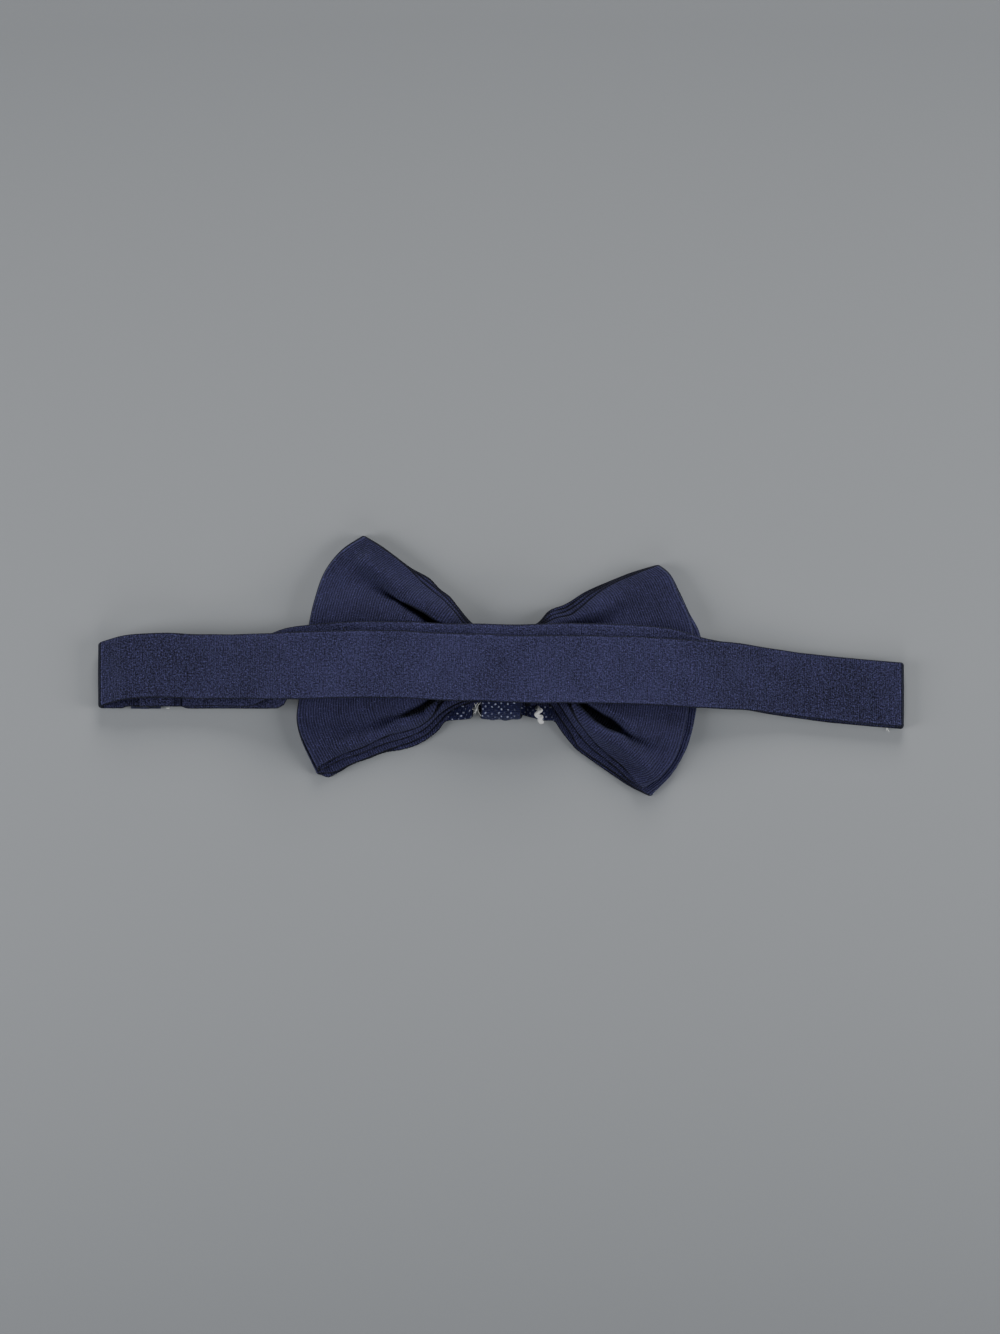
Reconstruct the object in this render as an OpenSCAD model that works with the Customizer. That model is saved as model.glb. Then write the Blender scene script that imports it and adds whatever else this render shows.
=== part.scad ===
// Pre-tied bow tie with an adjustable neck band, lying face down.
// The band's loop is folded flat over the back of the bow.
// X runs along the band, Y across it, Z away from the face of the bow.
// The origin is on the face of the knot, on the line of the band.

/* [Band] */
// Width of the neck band
band_w = 19.4; // [18.5:0.1:20.5]
// Thickness of the band with its interlining
band_t = 1.3; // [1.1:0.1:1.4]
// Distance from the knot to the right fold of the loop
right_reach = 120.2; // [116:0.2:126]
// Distance from the knot to the left fold of the loop
left_reach = 121.4; // [117:0.2:126]

/* [Bow] */
// Thickness of one layer of the bow with its interlining
bow_t = 0.9; // [0.8:0.05:0.95]
// Scale of the bow's outline in the plane of the bow
bow_scale = 1; // [0.96:0.01:1.02]

/* [Knot] */
// Width of the knot along the band
knot_w = 12; // [10:0.5:13]
// Wall of the fabric wrapped round the knot
knot_wall = 1.1; // [0.8:0.1:1.1]

/* [Fasteners] */
// Diameter of the wire of the eye and of the hook's bar
wire_d = 1.2; // [1:0.1:1.2]
// Width of the hook across the band
hook_w = 15; // [14:0.5:15.5]
// Width of the slide across the band
slide_w = 19.6; // [19.2:0.1:19.8]
// Diameter of the sewing thread, drawn as a bundle
thread_d = 0.8; // [0.5:0.1:0.8]

/* [Hidden] */
navy = [0.17, 0.19, 0.34];
dark_navy = [0.11, 0.12, 0.26];
canvas = [0.78, 0.77, 0.72];
white_thread = [0.93, 0.93, 0.90];
enamel = [0.10, 0.11, 0.18];
$fn = 32;
clear = 0.05;
skin = 0.28;
top_z = 20;
base_z = -1;
hem = 3;
hem_gap = 0.4;
seam = 1;
lining_gap = 0.1;
fold_start = 43;
wing_half = 45;
waist_reach = 10;
band_span = 30;

// Knot: fabric tube round the waist of the bow
knot_low = -16.5;
knot_high = 12;
knot_x = -0.6;
knot_h = 10.5;
knot_round = 3.6;
thread_gap = 0.1;
thread_room = 0.3;
inner_low = knot_low + knot_wall;
inner_high = knot_high - knot_wall;
waist_low = inner_low + thread_d + thread_room;
waist_high = inner_high - thread_d - thread_room;

// Heights of the middle of the four bow layers, against distance from the knot
face_layer = [[0, 4.2], [7, 4.2], [12, 3.0], [20, 1.1], [30, 0.45], [66, 0.45]];
front_back_layer = [[0, 5.4], [7, 5.4], [12, 4.6], [20, 3.2], [30, 2.4], [50, 2.0], [66, 1.95]];
back_front_layer = [[0, 6.6], [7, 6.6], [12, 6.0], [20, 4.9], [30, 4.0], [50, 3.3], [66, 3.2]];
back_layer = [[0, 7.8], [7, 7.8], [12, 8.0], [20, 7.7], [30, 6.8], [50, 5.0], [66, 4.7]];

// Plan outlines of the two bows, clockwise from the waist's top left
front_plan = [
    [-8.5, waist_high], [-12.7, 16.3], [-22, 26.2], [-30, 30.6], [-42.5, 39],
    [-49.3, 34], [-53.8, 28], [-56.7, 19.5], [-58.2, 13], [-61.9, -17.4],
    [-58.1, -28], [-55.6, -33.2], [-50, -31.9],
    [-36, -26.3], [-24, -23.2], [-15.2, -16.6], [-8.5, waist_low],
    [8.5, waist_low], [15.8, -17.1], [20, -24], [29, -30.7], [45.4, -39.5],
    [54.6, -25.7], [58.2, -10.5], [58.6, 9.4], [52.5, 21.8], [46.9, 30.2],
    [32.2, 25.4], [19.8, 19], [11.5, 13.4], [8.5, waist_high]
];
back_plan = [
    [-8.5, waist_high], [-13, 13.4], [-21.3, 21.6], [-30, 30.1], [-42.3, 38.6],
    [-48.9, 33.7], [-53.3, 28], [-56.2, 19.5], [-57.8, 13], [-61.3, -15],
    [-57.7, -28], [-55.4, -31.9], [-45.7, -27.8],
    [-27.5, -19.9], [-15.5, -13], [-8.5, waist_low],
    [8.5, waist_low], [17.2, -12.6], [22, -19], [32, -28.2], [42.6, -36.8],
    [52.4, -24.7], [55.8, -11], [57.4, 9.4], [51.9, 21.6], [46.6, 29.8],
    [33, 23.6], [21, 16.6], [8.5, waist_high]
];

// Middle line of the band's plies, height against distance along the band
outer_rise = [
    [-113, 6.9], [-100, 6.9], [-88, 6.8], [-76, 9], [-67, 11.4], [-61, 12.1], [-50, 11.3],
    [-40, 10.5], [-30, 10.4], [-20, 11], [-10, 12.6], [0, 13.2], [10, 12.6], [20, 10.9],
    [30, 10], [50, 8.4], [60, 7.8], [72, 5.8], [86, 4.1], [100, 3.6]
];
inner_rise = [
    [-71, 2.6], [-66.5, 4.6], [-62.5, 6.1], [-57, 6.4], [-50, 6.45], [-30, 8.25], [-20, 9.2],
    [-13, 9.9], [-9, 11.1], [-6, 11.55], [0, 11.6], [5, 11.55], [8, 11.1], [12, 9.95],
    [20, 9.2], [30, 8.25], [50, 6.45], [58, 6.2], [64, 5.1], [72, 2.8], [80, 1.3], [90, 0.7]
];
end_rise = [[-113, 1.85], [-96, 1.85], [-86, 2.2], [-78, 3.6], [-72, 5.3], [-67, 7], [-63.6, 7.5]];
return_rise = [[-67, 9.8], [-72, 7.6], [-78, 5.5], [-84, 4.2]];

// Middle line of the band's plies in plan
outer_plan = [
    [-122, -2.9], [-114, -0.8], [-106, -0.1], [-92, -0.5], [-60, -0.8], [-30, -0.8], [0, -1.4],
    [30, -1.2], [56, -2.6], [70, -3.1], [82, -4.8], [96, -6.6], [108, -7.9], [121, -9]
];
inner_plan = [
    [-72, -1], [-66, 1.2], [-58, 2.4], [0, 2.5], [40, 2.3], [52, 1], [60, -1.4],
    [70, -3.3], [82, -5], [96, -6.8], [108, -8.1], [121, -9.2]
];
end_y = -3.4;

// Folds of the loop: each ply turns through half a circle
fold_r = 1.45;
fold_out = fold_r + band_t / 2;
fold_free = 9;
right_low = band_t / 2;
right_axis = right_low + fold_r;
left_low = 1.85;
left_axis = left_low + fold_r;
right_turn = right_reach - fold_out;
left_turn = -left_reach + fold_out;

// Closure
slide_x = -108;
slide_l = 9;
slide_bar = 1.4;
slide_low = 0.15;
tail_bar_z = 4.3;
tail_t = 0.85;
tail_r = 0.6 + tail_t / 2;
tail_w = 18.2;
tail_end = 11.4;
tack_x = -101;
hook_bar_x = -62.5;
hook_bar_z = 8.95;
hook_y = -2;
hook_plate = 0.8;
loop_clear = 0.3;
loop_t = 0.9;
loop_w = 13;
eye_bar_x = -53.6;
eye_z = 7.8;
eye_l = 5.8;
eye_w = 10.8;
tongue_w = 6;
tongue_x = -57.6;
wire_r = wire_d / 2;

// Small helpers
function mix(a, b, t) = a + (b - a) * t;
function at(list, i) = list[max(0, min(len(list) - 1, i))];
function curve(a, b, c, d, t) =
    0.5 * (2 * b + (c - a) * t + (2 * a - 5 * b + 4 * c - d) * t * t
    + (3 * b - a - 3 * c + d) * t * t * t);
function smooth(list, steps = 3) = concat(
    [for (i = [0 : len(list) - 2], k = [0 : steps - 1])
        curve(at(list, i - 1), at(list, i), at(list, i + 1), at(list, i + 2), k / steps)],
    [list[len(list) - 1]]
);
function back_to_front(list) = [for (i = [len(list) - 1 : -1 : 0]) list[i]];
function raised(list, rise) = [for (p = list) [p[0], p[1] + rise]];
function mirrored(list) = [for (i = [len(list) - 1 : -1 : 1]) [-list[i][0], list[i][1]]];
function both_sides(list) = concat(mirrored(list), list);
function ply(line, t) = concat(raised(line, t / 2), back_to_front(raised(line, -t / 2)));
function heading(line, i) = at(line, i + 1) - at(line, i - 1);
function side(line, i) = [-heading(line, i)[1], heading(line, i)[0]] / norm(heading(line, i));
function edge(line, gap) = [for (i = [0 : len(line) - 1]) line[i] + side(line, i) * gap];
function ribbon(line, t) = concat(edge(line, t / 2), back_to_front(edge(line, -t / 2)));
function arc(x, z, r, from, to, steps = 6) =
    [for (i = [0 : steps]) [x + r * cos(mix(from, to, i / steps)), z + r * sin(mix(from, to, i / steps))]];

// Draws a shape of the XZ plane and gives it a depth along Y
module along_y(low, high) {
    translate([0, high, 0]) rotate([90, 0, 0]) linear_extrude(high - low) children();
}

// Keeps what lies over a plan outline
module over_plan(outline) {
    intersection() {
        children();
        translate([0, 0, base_z]) linear_extrude(top_z) polygon(outline);
    }
}

// One flattened loop of a bow: a layer nearer the face and another nearer the neck
module bow_layers(near, far, outline, t) {
    over_plan(outline) along_y(-wing_half, wing_half) {
        polygon(ply(smooth(both_sides(near), 2), t));
        polygon(ply(smooth(both_sides(far), 2), t));
    }
}

// The folds at both ends of a loop, which join its two layers
module bow_folds(near, far, outline) {
    near_line = smooth(both_sides(near), 2);
    far_line = smooth(both_sides(far), 2);
    difference() {
        over_plan(outline) along_y(-wing_half, wing_half) difference() {
            polygon(concat(raised(near_line, -bow_t / 2), back_to_front(raised(far_line, bow_t / 2))));
            square([2 * fold_start, 2 * top_z], center = true);
        }
        translate([0, 0, base_z]) linear_extrude(top_z) polygon(inset(outline, bow_t));
    }
}

function scaled(outline) = [for (p = outline) p * bow_scale];
function inset(outline, gap) =
    [for (p = outline) abs(p[0]) < waist_reach ? p * (1 - gap / wing_half) : p * (1 - gap / norm(p))];

module bow_shell(near, far, outline) {
    difference() {
        bow_layers(near, far, scaled(outline), bow_t);
        bow_layers(near, far, inset(scaled(outline), hem), bow_t - 2 * skin);
    }
    bow_folds(near, far, scaled(outline));
}

module bow_interlining(near, far, outline) {
    bow_layers(near, far, inset(scaled(outline), hem + hem_gap), bow_t - 2 * skin - clear);
}

module front_bow() {
    color(dark_navy) bow_shell(face_layer, front_back_layer, front_plan);
}

module front_bow_interlining() {
    color(canvas) bow_interlining(face_layer, front_back_layer, front_plan);
}

module back_bow() {
    color(navy) bow_shell(back_front_layer, back_layer, back_plan);
}

module back_bow_interlining() {
    color(canvas) bow_interlining(back_front_layer, back_layer, back_plan);
}

// Outline of the knot across the band, drawn in the YZ plane
module knot_outline(inset) {
    low = knot_low + inset;
    high = knot_high - inset;
    r = knot_round - inset;
    hull() {
        for (y = [low + r, high - r], z = [inset + r, knot_h - inset - r]) {
            translate([y, z]) circle(r);
        }
    }
}

module along_x(low, high) {
    translate([low, 0, 0]) rotate([90, 0, 90]) linear_extrude(high - low) children();
}

module knot_wrap() {
    color(dark_navy) along_x(knot_x - knot_w / 2, knot_x + knot_w / 2) difference() {
        knot_outline(0);
        knot_outline(knot_wall);
    }
}

module knot_padding() {
    side_gap = 0.8;
    end_gap = 3;
    pad_t = 1.4;
    color(canvas) translate([knot_x - knot_w / 2 + side_gap, inner_low + end_gap, knot_wall + thread_gap])
        cube([knot_w - 2 * side_gap, inner_high - inner_low - 2 * end_gap, pad_t]);
}

// Winding that draws the waist of the bow together, and its loose end beside the knot
module gathering_thread() {
    low = waist_low - thread_d - thread_gap;
    high = waist_high + thread_d + thread_gap;
    z_low = face_layer[0][1] - bow_t / 2 - thread_d - thread_gap;
    z_high = back_layer[0][1] + bow_t / 2 + thread_d + thread_gap;
    tail = [[-3.6, -9.6], [2, -10.6], [6.8, -12.4], [9.6, -14.2], [10.7, -17.6]];
    tail_width = 1.3;
    tail_drop = 0.6;
    turn_pitch = 2.4;
    color(white_thread) {
        for (x = [-turn_pitch, 0, turn_pitch]) {
            along_x(knot_x + x - thread_d / 2, knot_x + x + thread_d / 2) difference() {
                intersection() {
                    translate([low, z_low]) square([high - low, z_high - z_low]);
                    knot_outline(knot_wall + thread_gap);
                }
                translate([low + thread_d, z_low + thread_d])
                    square([high - low - 2 * thread_d, z_high - z_low - 2 * thread_d]);
            }
        }
        translate([0, 0, z_high - tail_drop]) linear_extrude(thread_d) polygon(ribbon(tail, tail_width));
    }
}

// Stitches that hold the wrap and the band together behind the knot
stitch = [1.6, 0.5, 0.3];
module knot_stitches() {
    gap = 0.02;
    color(dark_navy) for (x = [-4.5, -1.6, 1.3], y = [-6, 9]) {
        translate([x, y, knot_h + gap]) cube(stitch);
    }
}

// Run of the band behind the knot, from the closure to the right fold
inner_line = concat(
    smooth(inner_rise),
    arc(right_turn, right_axis, fold_r, -90, -fold_free)
);
module inner_run(t, w, start) {
    line = [for (p = inner_line) if (p[0] > start) p];
    over_plan(ply(smooth(inner_plan), w)) along_y(-band_span, band_span) polygon(ribbon(line, t));
}

inner_start = -90;
lining_start = -70;
lining_t = band_t - 2 * skin - clear;
lining_w = band_w - 2 * (seam + lining_gap);
module band_inner() {
    color(navy) difference() {
        inner_run(band_t, band_w, inner_start);
        inner_run(band_t - 2 * skin, band_w - 2 * seam, lining_start);
    }
}

module band_inner_interlining() {
    color(canvas) inner_run(lining_t, lining_w, lining_start + seam);
}

// Run of the band round the neck, between the two folds
outer_line = concat(
    arc(left_turn, left_axis, fold_r, 180 - fold_free, 90),
    smooth(outer_rise),
    arc(right_turn, right_axis, fold_r, 90, fold_free)
);
module outer_run(t, w) {
    over_plan(ply(smooth(outer_plan), w)) along_y(-band_span, band_span) polygon(ribbon(outer_line, t));
}

module band_outer() {
    color(navy) difference() {
        outer_run(band_t, band_w);
        outer_run(band_t - 2 * skin, band_w - 2 * seam);
    }
}

module band_outer_interlining() {
    color(canvas) outer_run(lining_t, lining_w);
}

// Last run of the band, from the left fold to the hook, drawn in a little inside the slide
end_line = concat(arc(left_turn, left_axis, fold_r, 180 + fold_free, 270), smooth(end_rise));
half_w = band_w / 2;
slide_path = tail_w / 2;
end_half = [
    [-left_reach - 1, half_w], [-118.5, half_w], [-117, slide_path], [-97, slide_path], [-95.5, half_w],
    [-67, half_w], [-64.5, loop_w / 2], [-58, loop_w / 2]
];
module end_run(t, gap, stop) {
    line = [for (p = end_line) if (p[0] < stop) p];
    over_plan(concat(
        [for (p = end_half) [p[0], end_y + p[1] - gap]],
        back_to_front([for (p = end_half) [p[0], end_y - p[1] + gap]])
    )) along_y(-band_span, band_span) polygon(ribbon(line, t));
}

// Turn of the band round the hook's bar, and the ply that returns from it
loop_r = wire_r + loop_clear + loop_t / 2;
loop_line = concat(
    [[-64.6, 7.35], [-63.6, 7.4]],
    arc(hook_bar_x, hook_bar_z, loop_r, -80, 115, 12),
    smooth(return_rise)
);

end_lining = -68;
module band_end() {
    color(navy) {
        difference() {
            end_run(band_t, 0, 0);
            end_run(band_t - 2 * skin, seam, end_lining);
        }
        along_y(hook_y - loop_w / 2, hook_y + loop_w / 2) polygon(ribbon(loop_line, loop_t));
    }
}

module band_end_interlining() {
    color(canvas) end_run(lining_t, seam + lining_gap, end_lining - seam);
}

// Free end of the band, turned round the slide's middle bar and sewn down
module band_tail() {
    tack_reach = 2;
    crown_reach = 3;
    crown_rise = 0.7;
    line = concat(
        [[tack_x + tack_reach, tail_bar_z], [slide_x + crown_reach, tail_bar_z + crown_rise]],
        arc(slide_x, tail_bar_z, tail_r, 75, 270, 10),
        [[slide_x + tail_end, tail_bar_z - tail_r]]
    );
    color(navy) along_y(end_y - tail_w / 2, end_y + tail_w / 2) polygon(ribbon(line, tail_t));
}

module tail_bar_tack() {
    tack = [0.9, 0.5, 2];
    gap = 0.1;
    low = 2.75;
    color(white_thread) for (y = [-tail_w / 2 - gap - tack[1], tail_w / 2 + gap]) {
        translate([tack_x - tack[0] / 2, end_y + y, low]) cube(tack);
    }
}

// Slide with two outer bars under the band and a middle bar over it
module adjuster_slide() {
    low = end_y - slide_w / 2;
    high = end_y + slide_w / 2;
    rail = 0.5;
    bar_h = 0.75;
    post = 2;
    post_top = tail_bar_z + 0.5;
    pin_r = 0.5;
    pin_gap = 0.2;
    color(enamel) {
        for (y = [low, high - rail]) {
            translate([slide_x - slide_l / 2, y, slide_low]) cube([slide_l, rail, bar_h]);
            translate([slide_x - post / 2, y, slide_low]) cube([post, rail, post_top - slide_low]);
        }
        for (x = [slide_x - slide_l / 2, slide_x + slide_l / 2 - slide_bar]) {
            translate([x, low, slide_low]) cube([slide_bar, slide_w, bar_h]);
        }
        translate([slide_x, low + pin_gap, tail_bar_z])
            rotate([-90, 0, 0]) cylinder(h = slide_w - 2 * pin_gap, r = pin_r);
    }
}

// Bar, side arms and a tongue that turns down over the eye
module hook() {
    tip = tongue_x + 1;
    top = hook_bar_z + wire_r;
    bottom = eye_z - 0.3;
    arm_l = 3.3;
    arm_w = 1;
    cross_x = 2;
    cross_w = 1.3;
    tongue_start = 2.5;
    tongue_t = 0.7;
    tongue_round = 0.6;
    color(enamel) {
        translate([hook_bar_x, hook_y - hook_w / 2, hook_bar_z])
            rotate([-90, 0, 0]) cylinder(h = hook_w, r = wire_r);
        for (y = [hook_y - hook_w / 2, hook_y + hook_w / 2 - arm_w]) {
            translate([hook_bar_x, y, top - hook_plate]) cube([arm_l, arm_w, hook_plate]);
        }
        translate([hook_bar_x + cross_x, hook_y - hook_w / 2, top - hook_plate])
            cube([cross_w, hook_w, hook_plate]);
        along_y(hook_y - tongue_w / 2, hook_y + tongue_w / 2) {
            polygon([
                [hook_bar_x + tongue_start, top - hook_plate], [hook_bar_x + tongue_start, top],
                [tip - tongue_round, top], [tip, top - tongue_round], [tip, bottom],
                [tip - tongue_t, bottom], [tip - tongue_t, top - hook_plate]
            ]);
        }
    }
}

// Wire ring that lies on the band
module eye() {
    left = eye_bar_x - eye_l;
    low = hook_y - eye_w / 2;
    high = hook_y + eye_w / 2;
    color(enamel) {
        for (x = [left, eye_bar_x]) {
            translate([x, low, eye_z]) rotate([-90, 0, 0]) cylinder(h = eye_w, r = wire_r);
        }
        for (y = [low, high]) {
            translate([left, y, eye_z]) rotate([0, 90, 0]) cylinder(h = eye_l, r = wire_r);
        }
        for (x = [left, eye_bar_x], y = [low, high]) {
            translate([x, y, eye_z]) sphere(wire_r);
        }
    }
}

// Tape that holds the eye's bar down on the band
module eye_tape() {
    r = wire_r + loop_clear;
    t = 0.5;
    base = 7.25;
    half = 4;
    stop = -48.4;
    color(navy) along_y(hook_y - half, hook_y + half) {
        polygon(concat(
            arc(eye_bar_x, eye_z, r + t, 0, 180, 10),
            [[eye_bar_x - r - t, base], [eye_bar_x - r, base]],
            arc(eye_bar_x, eye_z, r, 180, 0, 10),
            [[eye_bar_x + r, base], [stop, base], [stop, base + t], [eye_bar_x + r + t, base + t]]
        ));
    }
}

module eye_tape_stitches() {
    stitch_w = 0.4;
    start = [-51, hook_y - stitch_w / 2, 7.8];
    color(dark_navy) for (y = [-3, -1, 1, 3]) {
        translate(start + [0, y, 0]) cube([stitch[0], stitch_w, stitch[2]]);
    }
}

front_bow();
front_bow_interlining();
back_bow();
back_bow_interlining();
knot_wrap();
knot_padding();
gathering_thread();
knot_stitches();
band_inner();
band_inner_interlining();
band_outer();
band_outer_interlining();
band_end();
band_end_interlining();
band_tail();
tail_bar_tack();
adjuster_slide();
hook();
eye();
eye_tape();
eye_tape_stitches();
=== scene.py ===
"""Looks of the pre-tied bow tie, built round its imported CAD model. Lengths in mm unless said otherwise."""
import math
import bpy
import numpy as np
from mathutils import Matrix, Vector


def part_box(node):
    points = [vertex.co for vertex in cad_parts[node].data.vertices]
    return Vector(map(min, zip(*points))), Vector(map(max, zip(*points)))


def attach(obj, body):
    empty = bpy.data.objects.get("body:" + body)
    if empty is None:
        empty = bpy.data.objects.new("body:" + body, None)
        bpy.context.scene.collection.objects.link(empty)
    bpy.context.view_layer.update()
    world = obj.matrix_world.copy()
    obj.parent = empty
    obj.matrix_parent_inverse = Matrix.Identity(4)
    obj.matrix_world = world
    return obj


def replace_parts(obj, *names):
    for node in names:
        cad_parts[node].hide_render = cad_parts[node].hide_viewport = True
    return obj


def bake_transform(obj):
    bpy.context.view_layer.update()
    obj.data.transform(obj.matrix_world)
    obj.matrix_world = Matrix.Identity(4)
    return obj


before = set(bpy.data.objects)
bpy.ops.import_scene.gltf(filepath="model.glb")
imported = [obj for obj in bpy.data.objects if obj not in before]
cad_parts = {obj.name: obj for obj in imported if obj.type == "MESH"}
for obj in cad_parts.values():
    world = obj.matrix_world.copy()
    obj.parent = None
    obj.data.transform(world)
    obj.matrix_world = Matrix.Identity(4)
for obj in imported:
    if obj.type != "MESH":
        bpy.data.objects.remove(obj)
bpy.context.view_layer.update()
MM = 0.001

# ---------------------------------------------------------------- camera, floor and light
# Height of the view at the level of the bow, that level, and the middle of the view, in mm.
VIEW_H, VIEW_LEVEL = 400.2, 8
VIEW_CENTRE = (-0.9, -0.6)
LENS, SENSOR = 80.0, 36.0
FLOOR_HALF = 1500


def camera():
    """Looks straight down on the bow tie's back, with +Y up in the picture."""
    data = bpy.data.cameras.new("camera")
    data.lens = LENS
    data.sensor_width = SENSOR
    data.clip_start = 0.01
    cam = bpy.data.objects.new("camera", data)
    bpy.context.collection.objects.link(cam)
    height = VIEW_H * LENS / SENSOR + VIEW_LEVEL
    cam.location = Vector((VIEW_CENTRE[0], VIEW_CENTRE[1], height)) * MM
    bpy.context.scene.camera = cam


def area_light(name, place, size, power, colour):
    """A square softbox at a place in mm, turned to the bow tie."""
    data = bpy.data.lights.new(name, "AREA")
    data.shape = "SQUARE"
    data.size = size * MM
    data.energy = power
    data.color = colour
    lamp = bpy.data.objects.new(name, data)
    bpy.context.collection.objects.link(lamp)
    lamp.location = Vector(place) * MM
    lamp.rotation_euler = (-lamp.location).to_track_quat("-Z", "Y").to_euler()


def studio():
    camera()
    area_light("far_softbox", (60, 850, 450), 450, 5.3, (1.0, 1.0, 0.99))
    area_light("left_softbox", (-800, -120, 430), 450, 4.0, (0.97, 0.98, 1.0))
    area_light("right_softbox", (800, -60, 430), 450, 3.6, (0.98, 0.99, 1.0))
    area_light("near_softbox", (0, -850, 450), 450, 1.7, (0.98, 0.99, 1.0))
    world = bpy.data.worlds.new("studio")
    bpy.context.scene.world = world
    world.use_nodes = True
    world.node_tree.nodes["Background"].inputs["Color"].default_value = (0.86, 0.92, 1.0, 1)
    world.node_tree.nodes["Background"].inputs["Strength"].default_value = 0.07
    side = FLOOR_HALF * MM
    mesh = bpy.data.meshes.new("floor")
    corners = [(-side, -side, 0), (side, -side, 0), (side, side, 0), (-side, side, 0)]
    mesh.from_pydata(corners, [], [(0, 1, 2, 3)])
    floor = bpy.data.objects.new("floor", mesh)
    bpy.context.collection.objects.link(floor)
    floor.data.materials.append(paper())


# ---------------------------------------------------------------- materials
class Shader:
    """A small helper that wires a node material."""

    def __init__(self, name):
        self.mat = bpy.data.materials.new(name)
        self.mat.use_nodes = True
        self.tree = self.mat.node_tree
        self.tree.nodes.clear()

    def add(self, kind, inputs=None, **settings):
        node = self.tree.nodes.new("ShaderNode" + kind)
        for key, value in settings.items():
            setattr(node, key, value)
        for key, value in (inputs or {}).items():
            if isinstance(value, bpy.types.NodeSocket):
                self.tree.links.new(value, node.inputs[key])
            else:
                node.inputs[key].default_value = value
        return node

    def math(self, operation, a, b=0.0, c=0.0):
        return self.add("Math", {0: a, 1: b, 2: c}, operation=operation).outputs[0]

    def noise(self, vector, scale, detail=2.0, roughness=0.5):
        """Noise of about 0.5 on average; scale is in features a metre."""
        inputs = {"Vector": vector, "Scale": scale, "Detail": detail, "Roughness": roughness}
        return self.add("TexNoise", inputs).outputs[0]

    def ramp(self, value, low, high, to_low=0.0, to_high=1.0):
        inputs = {"Value": value, "From Min": low, "From Max": high, "To Min": to_low, "To Max": to_high}
        return self.add("MapRange", inputs).outputs["Result"]

    def mix(self, factor, a, b):
        inputs = {"Factor": factor, 6: a, 7: b}
        return self.add("Mix", inputs, data_type="RGBA").outputs[2]

    def finish(self, colour, bump=None, depth=0.0001, strength=1.0, **sockets):
        shader = self.add("BsdfPrincipled", {"Base Color": colour})
        for key, value in sockets.items():
            shader.inputs[key.replace("_", " ")].default_value = value
        if bump is not None:
            inputs = {"Height": bump, "Distance": depth, "Strength": strength}
            self.tree.links.new(self.add("Bump", inputs).outputs[0], shader.inputs["Normal"])
        self.tree.links.new(shader.outputs[0], self.add("OutputMaterial").inputs[0])
        return self.mat


def paper():
    """Smooth grey studio paper, a little darker away from the middle of the sweep: painted shade for the
    falloff of the light.
    """
    s = Shader("studio_paper")
    place = s.add("NewGeometry").outputs["Position"]
    parts = s.add("SeparateXYZ", {0: place}).outputs
    away = s.math("MULTIPLY", s.math("ADD", parts[1], 0.025), 5.0)
    squared = s.math("MULTIPLY", away, away)
    away = s.math("ADD", squared, s.math("MULTIPLY", s.math("ABSOLUTE", parts[0]), 0.25))
    # Painted shade: the paper's colour darkens away from the middle, standing in for the light's falloff.
    colour = s.mix(s.ramp(away, 0.0, 1.2), (0.390, 0.405, 0.423, 1), (0.285, 0.296, 0.311, 1))
    return s.finish(colour, s.noise(place, 1500.0, 2.0), 0.00003, 0.5, Roughness=0.9)


# Painted shade along the neck band: distances from its middle, in metres, where it begins to darken and where
# it is darkest.
END_SHADE_REACH = (0.040, 0.100)


def times(colour, factor):
    return tuple(factor * c for c in colour) + (1,)


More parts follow.
